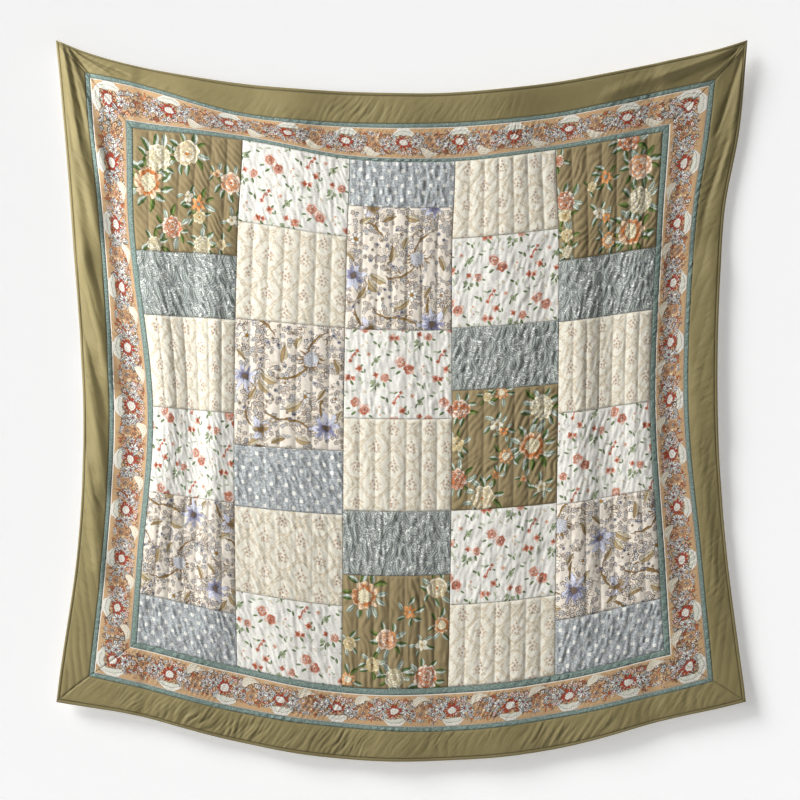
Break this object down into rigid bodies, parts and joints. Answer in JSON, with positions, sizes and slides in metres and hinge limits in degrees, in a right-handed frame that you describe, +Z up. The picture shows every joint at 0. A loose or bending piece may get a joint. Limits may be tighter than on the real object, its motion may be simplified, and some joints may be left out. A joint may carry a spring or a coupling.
{
  "type": "patchwork quilt",
  "caption": "Hanging patchwork quilt with stitched channels, printed cotton patches, a floral border between narrow strips and a plain olive outer border.",
  "frame": {"origin": "middle of the quilt's top edge, in the middle of the cloth's thickness", "axes": "+Z up, +X to the right of someone facing the quilt, the face looks along -Y and the wall lies behind it on the +Y side"},
  "size_m": [2.2536, 0.0515, 2.3505],
  "materials": {
    "patchwork": "printed cotton patches, quilted",
    "inner_strip": "dusty teal woven cotton",
    "floral_border": "printed cotton border on a tan ground",
    "outer_strip": "dusty teal woven cotton",
    "olive_border": "olive cotton sateen with a soft sheen",
    "binding": "olive cotton sateen, folded over the edge"
  },
  "bodies": {
    "root": {"patchwork_panel": "patchwork", "inner_strip_top": "inner_strip", "inner_strip_right": "inner_strip", "inner_strip_bottom": "inner_strip", "inner_strip_left": "inner_strip", "floral_border_top": "floral_border", "floral_border_right": "floral_border", "floral_border_bottom": "floral_border", "floral_border_left": "floral_border", "outer_strip_top": "outer_strip", "outer_strip_right": "outer_strip", "outer_strip_bottom": "outer_strip", "outer_strip_left": "outer_strip", "olive_border_top": "olive_border", "olive_border_right": "olive_border", "olive_border_bottom": "olive_border", "olive_border_left": "olive_border", "binding_top": "binding", "binding_right": "binding", "binding_bottom": "binding", "binding_left": "binding"}
  },
  "joints": []
}
